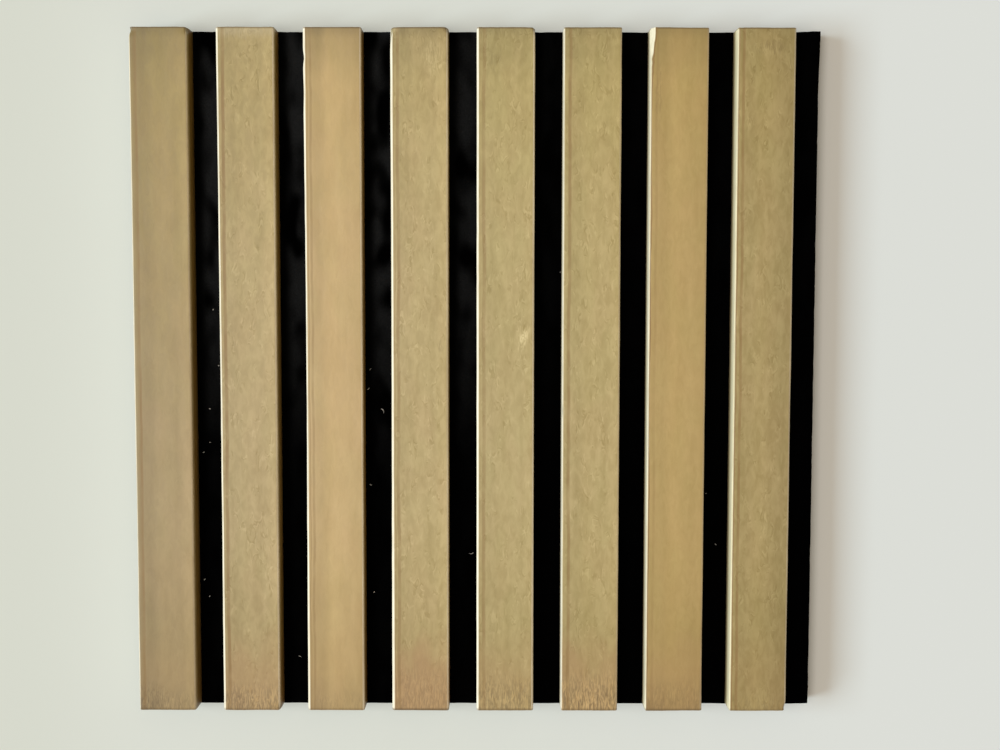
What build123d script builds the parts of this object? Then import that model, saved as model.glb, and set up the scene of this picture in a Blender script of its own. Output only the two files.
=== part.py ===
from build123d import *
import os

# Acoustic slat panel: a felt board that carries eight upright slats, held by staples driven from behind.
# The origin is the centre of the felt's back face, which lies on the wall.
# +X is to the right as seen from the room, +Y points into the wall and +Z is up, so the slats face -Y.
# All sizes are in millimetres.

# Slats
slat_count = 8
slat_width = 27.0
slat_thickness = 12.0
slat_gap = 13.0           # bare felt between two slats
arris_radius = 1.0        # the two long front edges of a slat are rounded
end_bevel = 0.4           # the sawn edges at each end are eased by hand

# Felt board
panel_height = 320.0
felt_thickness = 9.0
edge_strip = 13.0         # bare felt to the right of the last slat, which makes the gap to the next panel

# Chipped corner at the top left of one slat
chipped_slat = 7
chip_length = 30.0        # down the long edge from the top end
chip_width = 3.4          # across the face at the top end
chip_depth = 5.0          # back along the side at the top end

# Staples, one across each slat at each row
staple_rows = 4
staple_margin = 40.0      # from the panel's top and bottom edges to the nearest row
staple_crown = 6.0        # outside width over both legs
staple_leg = 16.0         # from the outside of the crown to the tips
crown_sink = 0.3          # the crown is driven this far below the back face
wire_thickness = 1.05     # seen across the crown
wire_width = 1.25
wire_bend = 0.9           # outside radius where the crown meets a leg
point_bevel = 0.4         # each leg ends in a chisel point
slot_clearance = 0.05     # between the wire and the slot that it is driven into

# Derived places
slat_pitch = slat_width + slat_gap
panel_width = slat_count * slat_pitch - slat_gap + edge_strip
first_centre = (slat_width - panel_width) / 2
last_centre = first_centre + (slat_count - 1) * slat_pitch
felt_front = -felt_thickness
slat_front = felt_front - slat_thickness
row_spacing = (panel_height - 2 * staple_margin) / (staple_rows - 1)


def staple_section(clearance):
    """Section of a bent wire with its legs upwards, grown all round by the clearance."""
    with BuildSketch() as section:
        with Locations((0, crown_sink - clearance)):
            Rectangle(
                staple_crown + 2 * clearance,
                wire_thickness + 2 * clearance,
                align=(Align.CENTER, Align.MIN),
            )
            with GridLocations(staple_crown - wire_thickness, 0, 2, 1):
                Rectangle(
                    wire_thickness + 2 * clearance,
                    staple_leg + 2 * clearance,
                    align=(Align.CENTER, Align.MIN),
                )
        fillet(section.vertices().group_by(Axis.Y)[0], radius=wire_bend + clearance)
        chamfer(section.vertices().group_by(Axis.Y)[-1], length=point_bevel)
    return section.sketch_local


# One staple, crown down and points up, in the plane of the back face
with BuildPart() as staple:
    with BuildSketch(Plane.XZ):
        add(staple_section(0))
    extrude(amount=wire_width / 2, both=True)

# The slot that it is driven into, open at the back face over the whole crown
with BuildPart() as staple_slot:
    with BuildSketch(Plane.XZ):
        add(staple_section(slot_clearance))
    extrude(amount=wire_width / 2 + slot_clearance, both=True)
    with BuildSketch(Plane.XY) as mouth:
        Rectangle(staple_crown + 2 * slot_clearance, wire_width + 2 * slot_clearance)
    extrude(amount=crown_sink + wire_bend)

# Felt board
with BuildPart(Plane.XZ) as felt_backing:
    with BuildSketch(Plane.XZ) as outline:
        Rectangle(panel_width, panel_height)
    extrude(amount=felt_thickness)
    with Locations(((first_centre + last_centre) / 2, 0)):
        with GridLocations(slat_pitch, row_spacing, slat_count, staple_rows):
            add(staple_slot.part, mode=Mode.SUBTRACT)

felt_backing.part.label = "felt_backing"


def make_slat(number):
    """One slat: a flat stick with its front edges rounded and its ends sawn square and eased."""
    centre_x = first_centre + (number - 1) * slat_pitch
    with BuildPart(Plane.XZ) as slat:
        with BuildSketch(Plane.XY.offset(-panel_height / 2)) as section:
            with Locations((centre_x, felt_front)):
                Rectangle(slat_width, slat_thickness, align=(Align.CENTER, Align.MAX))
            fillet(section.vertices().group_by(Axis.Y)[0], radius=arris_radius)
        extrude(amount=panel_height)
        chamfer(slat.edges().filter_by(Axis.X).group_by(Axis.Y)[0], length=end_bevel)
        if number == chipped_slat:
            left = centre_x - slat_width / 2
            top = panel_height / 2
            on_face = Vector(left + chip_width, slat_front, top)
            on_side = Vector(left, slat_front + chip_depth, top)
            on_arris = Vector(left, slat_front, top - chip_length)
            outward = (on_side - on_face).cross(on_arris - on_face)
            split(bisect_by=Plane(origin=on_face, z_dir=outward), keep=Keep.BOTTOM)
        with Locations((centre_x, 0)):
            with GridLocations(slat_pitch, row_spacing, 1, staple_rows):
                add(staple_slot.part, mode=Mode.SUBTRACT)
    slat.part.label = f"slat_{number}"
    return slat.part


slats = [make_slat(number) for number in range(1, slat_count + 1)]

# Staples
with BuildPart(Plane.XZ) as staples:
    with Locations(((first_centre + last_centre) / 2, 0)):
        with GridLocations(slat_pitch, row_spacing, slat_count, staple_rows):
            add(staple.part)

staples.part.label = "staples"

os.makedirs("parts", exist_ok=True)
for piece in [felt_backing.part, *slats, staples.part]:
    export_step(piece, f"parts/{piece.label}.step")
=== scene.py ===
"""Acoustic slat panel: the finish of its slats, felt board, lint and staples, and the stage it is seen on.

The settings are in metres, as the frame is. The shape formulas work in millimetres, and a mesh gets its
points in metres. X is to the right, Y into the wall and Z up. The slats face -Y.
"""

import math
from functools import partial, reduce

import bpy
import numpy as np
from bpy.props import FloatProperty, FloatVectorProperty, IntProperty, PointerProperty
from mathutils import Matrix, Vector


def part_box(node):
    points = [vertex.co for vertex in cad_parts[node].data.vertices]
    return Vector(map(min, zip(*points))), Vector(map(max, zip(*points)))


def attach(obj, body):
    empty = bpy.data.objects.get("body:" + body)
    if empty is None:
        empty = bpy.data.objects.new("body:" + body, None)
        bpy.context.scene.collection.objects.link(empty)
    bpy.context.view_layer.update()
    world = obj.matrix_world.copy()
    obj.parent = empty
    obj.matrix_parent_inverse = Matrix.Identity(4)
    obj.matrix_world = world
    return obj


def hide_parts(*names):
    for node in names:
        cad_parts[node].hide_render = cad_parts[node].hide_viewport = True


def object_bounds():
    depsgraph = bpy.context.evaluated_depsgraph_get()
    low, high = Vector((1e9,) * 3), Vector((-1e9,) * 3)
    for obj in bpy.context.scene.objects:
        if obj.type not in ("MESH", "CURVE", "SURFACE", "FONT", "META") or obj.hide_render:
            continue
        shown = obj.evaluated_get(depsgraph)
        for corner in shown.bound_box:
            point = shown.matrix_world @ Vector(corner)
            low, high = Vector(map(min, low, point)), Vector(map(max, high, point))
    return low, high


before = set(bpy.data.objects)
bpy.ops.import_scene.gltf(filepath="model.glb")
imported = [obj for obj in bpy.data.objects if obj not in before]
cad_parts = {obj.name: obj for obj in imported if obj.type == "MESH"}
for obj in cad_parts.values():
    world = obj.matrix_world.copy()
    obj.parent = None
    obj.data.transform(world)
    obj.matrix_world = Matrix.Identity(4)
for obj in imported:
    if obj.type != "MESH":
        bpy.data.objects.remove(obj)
frame_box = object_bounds()

bl_info = {
    "name": "Acoustic Slat Panel",
    "version": (1, 0, 0),
    "blender": (4, 5, 0),
    "location": "View3D > Sidebar > Slat Panel",
    "description": "Dresses a felt board with upright slats and sets it on a plain backdrop",
    "category": "Object",
}

MM = 0.001
BODY = "root"
SLATS = sorted(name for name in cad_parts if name.startswith("slat_"))
FELT = "felt_backing"
STAPLES = "staples"

# What sets each slat apart, one value a slat from the left. Colours are 0 to 255 values, and places, widths
# and heights are in millimetres.
SLAT_LOOKS = {
    # Its face in plain daylight
    "tone": [(168, 145, 102), (181, 159, 112), (201, 171, 118), (186, 164, 114),
             (184, 164, 113), (184, 163, 111), (187, 158, 100), (172, 150, 99)],
    # Strength of its figure: small mottling, broad clouds and short strokes
    "mottle": [0.8, 1.35, 0.5, 1.22, 1.1, 1.12, 0.5, 1.2],
    "cloud": [0.9, 0.9, 0.9, 1.0, 0.9, 0.8, 0.3, 0.8],
    "fleck": [0.15, 0.8, 0.1, 0.72, 0.68, 0.7, 0.12, 0.66],
    # How yellow its upper half is
    "ochre": [1.0, 0.45, 0.1, 0.1, 0.35, 0.3, 0.0, 0.1],
    # How red its sawn foot has turned, and how much darker its two ends are
    "foot": [0.3, 0.78, 0.25, 1.2, 0.6, 0.95, 0.6, 0.25],
    "heel": [0.1, 0.05, 0.18, 0.03, 0.05, -0.05, 0.22, 0.03],
    "head": [0.85, 0.35, 1.05, 0.95, 0.8, 0.72, 0.82, 0.36],
    # How pale its top has worn
    "bleach": [0.0, 0.17, 0.0, 0.0, 0.0, 0.0, 0.0, 0.0],
    # How rough its foot is and how far up that reaches, and how dark its lowest edge is
    "fray": [(0.85, 11.5), (1.35, 17.0), (0.4, 12.0), (0.78, 30.0),
             (1.2, 23.0), (1.75, 24.0), (0.6, 20.0), (0.5, 10.0)],
    "sill": [0.35, 0.42, 0.35, 0.75, 0.55, 0.5, 0.6, 0.32],
    # How much darker (below 0) or paler its face is towards each side
    "left": [-0.15, -0.065, -0.145, -0.05, -0.05, -0.075, -0.08, -0.06],
    "right": [0.11, 0.1, -0.075, 0.09, 0.03, 0.04, -0.07, -0.14],
    # How wide and how strongly its left edge is painted pale, partly as wear and partly as painted highlight,
    # and how white
    "rim": [(0.62, 0.75), (1.1, 0.95), (1.2, 1.0), (1.34, 1.0),
            (1.08, 1.0), (0.3, 1.0), (0.02, 1.0), (0.12, 1.0)],
    "edge": [1.0, 1.0, 1.0, 1.0, 1.0, 1.0, 0.93, 0.84],
    # How strongly its right edge is painted pale, partly as wear and partly as painted highlight
    "line": [0.3, 0.55, 0.65, 0.58, 0.75, 0.38, 0.32, 0.4],
    # The thin line beside its left edge: place and strength. On slats 6 to 8 it lies on the rounded edge,
    # where
    #     # it is partly a pressed line and partly painted shade that dims the lit curve
    "crease": [(2.05, 0.35), (1.8, 0.1), (1.95, 0.6), (1.95, 0.5),
               (1.85, 0.2), (0.95, 0.2), (0.88, 1.3), (0.92, 1.1)],
    # The broad pressed line there: place, half width and strength
    "groove": [(3.05, 0.65, 0.78), (3.15, 0.85, 0.95), (3.6, 0.6, 0.55), (3.65, 0.8, 0.68),
               (3.5, 0.9, 0.62), (3.2, 0.8, 0.75), (3.2, 0.65, 0.28), (3.1, 0.72, 0.72)],
}
CREASE_HALF = 0.30
GROOVE_REACH = 5.5          # the face has a finer grid up to here, over both lines

# Patches on the faces, some rubbed pale and some stained dark: slat, distance from its left edge, height
# above the foot, half width and half height, in millimetres, strength (below 0 where it is dark) and how
# far it leans to the right for each millimetre up
PATCHES = [
    ("slat_5", 22.1, 176.9, 2.0, 5.8, 0.38, 0.30),
    ("slat_4", 0.6, 319.6, 3.0, 3.4, 0.38, 0.0),
    ("slat_4", 26.2, 319.4, 1.8, 1.8, -0.75, 0.0),
    ("slat_4", 23.3, 173.5, 1.6, 3.2, -0.22, 0.0),
    ("slat_5", 26.4, 319.6, 1.5, 1.5, -0.55, 0.0),
    ("slat_1", 6.0, 4.0, 8.5, 9.5, -0.36, 0.0),
    ("slat_2", 7.0, 5.0, 7.0, 6.5, -0.30, 0.0),
    ("slat_5", 9.0, 304.0, 4.0, 6.0, -0.14, 0.0),
    ("slat_8", 14.5, 311.0, 7.5, 3.6, -0.24, 0.0),
    ("slat_8", 17.0, 309.5, 6.0, 3.2, 0.09, 0.0),
    ("slat_7", 4.0, 290.0, 1.8, 15.0, -0.17, 0.0),
    ("slat_4", 20.0, 306.0, 5.0, 8.0, 0.18, 0.0),
]

# Dents and long bows of the front edges: slat, side (-1 left, 1 right), height above the foot, how far the
# edge gives way and half its length, in millimetres
EDGE_MARKS = [
    ("slat_1", -1, 318.5, 0.9, 2.0),
    ("slat_1", 1, 318.8, 0.7, 2.0),
    ("slat_3", -1, 306.0, 0.45, 2.4),
    ("slat_3", -1, 290.0, 0.20, 6.0),
    ("slat_4", -1, 320.0, 1.20, 5.5),
    ("slat_4", 1, 319.5, 0.90, 2.0),
    ("slat_4", -1, 190.0, 0.36, 110.0),
    ("slat_3", -1, 180.0, 0.50, 90.0),
    ("slat_2", -1, 180.0, 0.22, 80.0),
    ("slat_5", -1, 227.0, 0.18, 2.5),
    ("slat_5", -1, 205.0, 0.16, 1.8),
    ("slat_6", -1, 143.0, 0.35, 2.2),
    ("slat_5", 1, 319.8, 0.80, 2.2),
    ("slat_8", 1, 1.2, 0.80, 2.0),
    ("slat_2", 1, 1.0, 0.50, 1.5),
]

# Smooth noise that bends the slats: amount, wavelength in millimetres and seed of each part
EDGE_WAVES = ((0.6, 34.0, 2), (0.4, 9.0, 5))
GROOVE_WAVES = ((0.30, 26.0, 10), (0.12, 5.0, 11))
SAWN_WAVES = ((0.08, 9.0, 12), (0.035, 1.6, 8))
HOLLOW_SIZE = (8.0, 48.0)
EDGE_REACH = 2.2            # how far from a long edge its wander is felt
EDGE_SINK = 0.45            # how far an edge sinks back for each millimetre that it gives way sideways
FRONT_REACH = 3.0           # how far behind the face its hollows are felt
SAWN_REACH = 6.0            # how far from an end its roughness is felt

# The chip at the top left of one slat: across the face, back along the side and down the edge, in millimetres
CHIPPED = "slat_7"
CHIP_WIDTH = 2.4
CHIP_DEPTH = 4.0
CHIP_LENGTH = 30.0
FAR_INSIDE = -9.0           # distance from the chip or the groove, where a point has none
SPLINTER_SIZE = (1.1, 5.0)
SPLINTER_DEPTH = 0.16
STEP_DEPTH, STEP_WAVE = 0.10, 2.2

# Points round a slat's section on each side, round each long edge and along the back, points round the
# eased ends, and how far out the rings of an end cap are
SIDE_POINTS, EDGE_POINTS, BACK_POINTS, EASE_POINTS = 10, 7, 9, 4
CAP_RINGS = (0.25, 0.6, 0.9)
SHARP_ANGLE = math.radians(40)
CHIP_MARGIN = 4.0           # the finer rows begin this far below the chip

# The felt board, in millimetres. The lumps are share, wavelengths and seed of each part.
LUMP_WAVES = ((0.6, 13.0, 17.0, 0), (0.4, 4.5, 5.5, 1))
DIMPLE_SOFT = (2.2, 2.0)    # how far round a staple the felt is drawn in, across and along
RAGGED_DEPTH = 0.16
OVERHANG_REACH = 3.0
SHEEN_ACROSS, SHEEN_UP = (205.0, 130.0), (95.0, 235.0)     # where the painted sheen begins and where it is full, towards the upper left
SLAT_SHADOW_SPAN = (28.5, 33.5)     # from a slat's left edge: the strip beside the slat kept dark, painted shadow that the slat casts
NAP_SPAN = (7.6, 8.8)       # behind the felt's front, where the blue-grey nap starts on its back
FLARE_REACH = (9.0, 14.0)

# Fibres of the lint, in millimetres, and how many rings and sides each tube has
LINT_THICKNESS = 0.18
LINT_LIFT = 0.05
LINT_RINGS, LINT_SIDES = 9, 6

# The backdrop, in millimetres: its reach, its gap behind the board and how far the board laps over its hole
BACKDROP_REACH = 4000.0
BACKDROP_GAP = 0.4
BACKDROP_LAP = 2.0

# The camera's sensor in millimetres, and the nearest and farthest that it sees, in metres
SENSOR_WIDTH = 36.0
CLIP_RANGE = (0.01, 50.0)

# Noise in the wood: cell size across, in depth and along in millimetres, shift, detail, roughness, distortion
WOOD_NOISES = {
    "broad": ((4.5, 4.5, 60.0), 0, 2.0, 0.5, 0.0),
    "cloud": ((6.5, 6.5, 18.0), 2, 1.0, 0.5, 0.3),
    "mottle": ((2.6, 2.6, 6.0), 3, 2.0, 0.55, 0.6),
    "strokes": ((2.9, 2.9, 6.6), 7, 1.3, 0.45, 1.1),
    "crowd": ((4.2, 4.2, 9.0), 15, 1.0, 0.5, 0.0),
    "cut": ((2.2, 2.2, 4.2), 9, 1.0, 0.5, 0.0),
    "drift": ((9.0, 9.0, 24.0), 11, 1.0, 0.5, 0.0),
    "hair": ((0.75, 0.75, 4.2), 19, 2.0, 0.6, 0.9),
    "fibres": ((0.66, 0.66, 4.4), 17, 2.0, 0.6, 1.0),
    "faint": ((30.0, 30.0, 14.0), 13, 2.0, 0.5, 0.0),
    "wear": ((1.4, 1.4, 11.0), 23, 3.0, 0.5, 0.0),
    "pores": ((0.35, 0.35, 2.0), 29, 2.0, 0.5, 0.0),
}
SLAT_SHIFT = 17.3           # moves the noise on from one slat to the next

# What a colour is multiplied by, and how strong the wood's figure is
GREEN_CAST = (0.988, 1.000, 0.985)
PINK_CAST = (1.010, 0.995, 1.008)
OCHRE_CAST = (0.98, 0.985, 0.84)
END_CAST = (0.955, 0.950, 0.875)
# Painted shade on the right sides, which face away from the window
RIGHT_SHADE_CAST = (0.45, 0.33, 0.15)
CREAM_SPREAD = (1.0, 1.12, 1.62)
# Share left of the dark end rims, and of the painted shade deep between the slats
DARK_RIM_AND_SHADE_SHARE = 0.42
BROAD_SHARE, CLOUD_SHARE, MOTTLE_SHARE, STROKE_SHARE = 0.035, 0.045, 0.08, 0.185
# The foot shade is painted shade, darker towards the foot where less light reaches; the head shade darkens
# the top end
FOOT_SHADE, HEAD_SHADE = -0.062, -0.17
STROKE_LEVELS = (0.452, 0.548)          # levels of the noise that turn into dark strokes and pale ones
PALE_THREADS, DARK_THREADS = (0.42, 0.60), (0.58, 0.40)

# Where each mark on the wood begins and where it is full, in millimetres: from the left edge, from the
# foot, from the nearer end, from the head, or behind the face
LEFT_SPAN, PALE_RIGHT_SPAN, DARK_RIGHT_SPAN = (12.5, 6.5), (20.0, 24.5), (11.0, 24.5)
FOOT_SPAN, HEEL_SPAN, STAIN_SPAN, OCHRE_SPAN = (76.0, 36.0), (18.0, 2.0), (42.0, 14.0), (120.0, 250.0)
FRAY_FULL = 4.0
CROWDED_SPAN, END_SPAN = (13.0, 3.0), (105.0, 15.0)
HEAD_SPANS, BLEACH_SPAN = ((28.0, 6.0), (6.5, 0.5)), (6.5, 1.5)
# The second span is painted shade on the sides deep between the slats, towards the felt
FACE_SPAN, RECESS_SHADE_SPAN = (1.4, 0.8), (6.5, 12.0)
SIDE_SPAN = (1.0, 0.3)                  # from either edge

# Where the backdrop turns dim to the left and cool to the right, in millimetres from the middle.
# # Both are painted light and shade on the backdrop.
DIM_SPAN, COOL_SPAN = (-150.0, -230.0), (-60.0, 230.0)

# Lint on the felt: distance from the panel's left edge and height above its foot, in millimetres,
# then the fibre's length
LINT = [
    (109.1, 161.0, 1.3), (109.1, 152.9, 1.4), (113.8, 142.8, 3.0), (110.0, 106.3, 1.4), (34.8, 190.5, 0.9),
    (36.8, 163.8, 1.0), (32.2, 142.8, 0.9), (32.0, 126.5, 0.9), (28.9, 121.7, 0.9), (28.9, 59.8, 1.0),
    (30.9, 51.9, 0.9), (73.7, 23.1, 1.4), (110.1, 53.9, 1.0), (156.1, 73.4, 2.2), (199.0, 208.0, 0.9),
    (269.2, 102.0, 1.0), (275.2, 77.3, 1.1),
]


def srgb(red, green, blue):
    """A 0 to 255 colour as the linear colour that a shader takes."""
    value = np.array([red, green, blue]) / 255.0
    linear = np.where(value <= 0.04045, value / 12.92, ((value + 0.055) / 1.055) ** 2.4)
    return tuple(float(part) for part in linear)


def length_setting(name, description, size, low, high, unit=MM):
    """A length, given in millimetres or in another unit."""
    return FloatProperty(name=name, description=description, default=size * unit, min=low * unit,
                         max=high * unit, precision=5, unit="LENGTH")


def number_setting(name, description, value, low, high):
    """A plain number, such as a share of full light."""
    return FloatProperty(name=name, description=description, default=value, min=low, max=high)


def angle_setting(name, description, degrees, low=-89, high=89):
    """An angle, given in degrees."""
    return FloatProperty(name=name, description=description, default=math.radians(degrees),
                         min=math.radians(low), max=math.radians(high), subtype="ANGLE", unit="ROTATION")


def colour_setting(name, description, colour):
    """A linear colour."""
    return FloatVectorProperty(name=name, description=description, default=colour, min=0.0, max=1.0,
                               size=3, subtype="COLOR")


class SlatShape(bpy.types.PropertyGroup):
    edge_radius: length_setting("Edge radius", "Rounding of the two long front edges", 1.0, 0.2, 3.0)
    end_ease: length_setting("End ease", "Rounding of the sawn edges at each end", 0.4, 0.1, 2.0)
    waviness: length_setting("Waviness", "How far a long edge wanders from a straight line", 0.22, 0.0, 1.0)
    unevenness: length_setting("Unevenness", "Depth of the shallow hollows in a face", 0.06, 0.0, 0.5)
    groove_depth: length_setting("Groove depth", "Depth of the pressed groove on a face", 0.04, 0.0, 0.5)
    step_along: length_setting("Step along", "Grid spacing along a slat", 1.25, 0.5, 5.0)
    step_across: length_setting("Step across", "Grid spacing across a slat's face", 0.75, 0.3, 3.0)


class SlatFinish(bpy.types.PropertyGroup):
    # Worn finish, also used as the painted highlight on the long edges and painted light on the fronts of the
    # left sides
    worn_and_highlight_colour: colour_setting("Worn edge", "Where the finish has rubbed thin", srgb(254, 242, 214))
    # Partly faded finish and partly painted window light on the left sides
    faded_and_lit_side_colour: colour_setting("Faded side", "Sides that face the window", srgb(222, 205, 168))
    foot_colour: colour_setting("Foot stain", "Red-brown of the lower end", srgb(172, 132, 92))
    line_colour: colour_setting("Pressed line", "Brown of the pressed lines on a face", srgb(138, 106, 58))
    stain_colour: colour_setting("Stain", "Brown of the stained patches", srgb(84, 62, 36))
    bare_colour: colour_setting("Bare wood", "Fresh wood in a chip", srgb(247, 235, 203))
    end_colour: colour_setting("End grain", "Sawn ends", srgb(150, 122, 84))
    roughness: number_setting("Roughness", "Satin finish of the slats", 0.42, 0.05, 1.0)


class FeltShape(bpy.types.PropertyGroup):
    step: length_setting("Step", "Grid spacing over the board", 2.5, 1.0, 10.0)
    lumps: length_setting("Lumps", "Height of the soft unevenness of the pressed face", 0.18, 0.0, 1.0)
    rim_radius: length_setting("Rim radius", "Softness of the cut edges", 0.6, 0.1, 3.0)
    overhang: length_setting("Overhang", "How far it stands past its foot and right edge", 0.35, 0.0, 2.0)
    flare: length_setting("Flare", "How far its top right corner has spread", 0.75, 0.0, 3.0)
    dimple: length_setting("Dimple", "How deep a staple has drawn the felt in at the back", 0.8, 0.0, 2.0)


class FeltFinish(bpy.types.PropertyGroup):
    colour: colour_setting("Felt", "Matt black of the pressed felt", (0.0007, 0.0007, 0.0008))
    # The nap's blue-grey, which also serves as painted sheen on the felt's front
    nap_and_sheen_colour: colour_setting("Bloom", "Dusty blue-grey of the raised nap", (0.021, 0.023, 0.026))
    lint_colour: colour_setting("Lint", "Stray fibres on the felt", srgb(232, 232, 230))


class StapleFinish(bpy.types.PropertyGroup):
    colour: colour_setting("Wire", "Bright galvanised wire", srgb(176, 178, 182))
    roughness: number_setting("Roughness", "Polish of the wire", 0.34, 0.05, 1.0)


class StageSetting(bpy.types.PropertyGroup):
    backdrop_colour: colour_setting("Backdrop", "Middle of the pale backdrop", srgb(227, 230, 222))
    cool_colour: colour_setting("Cool side", "Backdrop towards the right", srgb(230, 233, 230))
    dim_colour: colour_setting("Dim side", "Backdrop at the far left", srgb(222, 225, 215))
    window_strength: number_setting("Window", "Share of full light that the window gives", 0.43, 0.0, 3.0)
    window_colour: colour_setting("Window light", "Colour of the window's light", (0.70, 0.872, 1.0))
    window_angle: angle_setting("Window angle", "How far left of straight ahead the window stands", 58, low=0)
    window_drop: angle_setting("Window drop", "How far below the panel's middle it stands", 3, -60, 60)
    window_width: length_setting("Window width", "Width of the window", 5.2, 0.1, 20.0, unit=1)
    window_height: length_setting("Window height", "Height of the window", 11.25, 0.1, 20.0, unit=1)
    lamp_distance: length_setting("Lamp distance", "From the panel to both lamps", 20.0, 0.5, 40.0, unit=1)
    fill_strength: number_setting("Fill", "Share of full light that the fill lamp gives", 0.41, 0.0, 2.0)
    fill_colour: colour_setting("Fill light", "Colour of the fill lamp", (1.0, 0.925, 0.86))
    fill_angle: angle_setting("Fill angle", "How far left of straight ahead the fill lamp stands", 18)
    fill_size: length_setting("Fill size", "Side of the square fill lamp", 12.5, 0.1, 20.0, unit=1)
    room_strength: number_setting("Room", "Even light from the rest of the room", 0.275, 0.0, 2.0)
    room_colour: colour_setting("Room light", "Colour of the room's light", (1.0, 0.81, 0.59))


class CameraSetting(bpy.types.PropertyGroup):
    place: FloatVectorProperty(
        name="Place", description="Camera's place in the frame", size=3, unit="LENGTH",
        default=(11.0 * MM, -629.3 * MM, 40.2 * MM))
    tilt: angle_setting("Tilt", "How far the camera looks down", 3.793)
    roll: angle_setting("Roll", "How far the camera leans", -0.08594367)
    focal_length: number_setting("Focal length", "Lens for a sensor 36 mm wide", 47.01, 10.0, 300.0)


class PanelSetting(bpy.types.PropertyGroup):
    seed: IntProperty(name="Seed", description="Start of every random draw", default=7, min=0)
    slat_shape: PointerProperty(type=SlatShape)
    slat_finish: PointerProperty(type=SlatFinish)
    felt_shape: PointerProperty(type=FeltShape)
    felt_finish: PointerProperty(type=FeltFinish)
    staple_finish: PointerProperty(type=StapleFinish)
    stage: PointerProperty(type=StageSetting)
    camera: PointerProperty(type=CameraSetting)


# Meshes

def box_mm(node):
    """Lowest and highest corner of a frame node, in millimetres."""
    low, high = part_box(node)
    return np.array(low) / MM, np.array(high) / MM


def slat_number(name):
    """A slat's number, counted from the left."""
    return SLATS.index(name) + 1


def slat_looks(name):
    """What sets one slat apart, by what it is."""
    return {key: values[slat_number(name) - 1] for key, values in SLAT_LOOKS.items()}


def table_noise(seed):
    """1024 random heights from -1 to 1, which the noise functions read round and round."""
    return np.random.default_rng(seed).uniform(-1.0, 1.0, 1024)


def line_noise(position, wavelength, seed):
    """Smooth noise along a line: random heights one wavelength apart, joined by the step t*t*(3 - 2*t)."""
    heights = table_noise(seed)
    place = np.asarray(position, float) / wavelength
    cell = np.floor(place).astype(int)
    part = place - cell
    part = part * part * (3 - 2 * part)
    return heights[cell % 1024] * (1 - part) + heights[(cell + 1) % 1024] * part


def waves(position, parts, seed):
    """Several line noises together, each with its amount, wavelength and seed."""
    return sum(amount * line_noise(position, wavelength, seed + step) for amount, wavelength, step in parts)


def sheet_noise(across, along, wavelength_across, wavelength_along, seed):
    """Smooth noise over a sheet: the four random heights round a point, joined by the same step both ways."""
    heights = table_noise(seed)
    a, b = np.broadcast_arrays(np.asarray(across, float) / wavelength_across,
                               np.asarray(along, float) / wavelength_along)
    cell_a, cell_b = np.floor(a).astype(int), np.floor(b).astype(int)
    part_a, part_b = a - cell_a, b - cell_b
    part_a = part_a * part_a * (3 - 2 * part_a)
    part_b = part_b * part_b * (3 - 2 * part_b)

    def height(i, j):
        return heights[((cell_a + i) * 131 + (cell_b + j) * 517) % 1024]

    low = height(0, 0) * (1 - part_a) + height(1, 0) * part_a
    high = height(0, 1) * (1 - part_a) + height(1, 1) * part_a
    return low * (1 - part_b) + high * part_b


def grid_quads(rows, columns, closed, first=0):
    """Faces of a grid whose points are numbered row by row. closed joins the last column to the first."""
    row = np.arange(rows - 1)[:, None]
    column = np.arange(columns if closed else columns - 1)[None, :]
    after = (column + 1) % columns
    corners = [row * columns + column, row * columns + after,
               (row + 1) * columns + after, (row + 1) * columns + column]
    return np.stack(np.broadcast_arrays(*corners), -1).reshape(-1, 4) + first


def new_mesh(name, points_mm, quads, triangles=None, sharp_angle=None):
    """An object whose mesh has these points, in millimetres, and faces, smooth up to the sharp angle."""
    triangles = np.zeros((0, 3), int) if triangles is None else triangles
    mesh = bpy.data.meshes.new(name)
    mesh.vertices.add(len(points_mm))
    mesh.vertices.foreach_set("co", (np.asarray(points_mm, float) * MM).astype(np.float32).ravel())
    corners = np.concatenate([np.asarray(quads).ravel(), np.asarray(triangles).ravel()]).astype(np.int32)
    starts = np.concatenate([np.arange(len(quads)) * 4,
                             len(quads) * 4 + np.arange(len(triangles)) * 3]).astype(np.int32)
    mesh.loops.add(len(corners))
    mesh.loops.foreach_set("vertex_index", corners)
    mesh.polygons.add(len(starts))
    mesh.polygons.foreach_set("loop_start", starts)
    mesh.update(calc_edges=True)
    mesh.validate()
    mesh.shade_smooth()
    if sharp_angle is not None:
        mesh.set_sharp_from_angle(angle=sharp_angle)
    piece = bpy.data.objects.new(name, mesh)
    bpy.context.scene.collection.objects.link(piece)
    return piece


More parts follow.
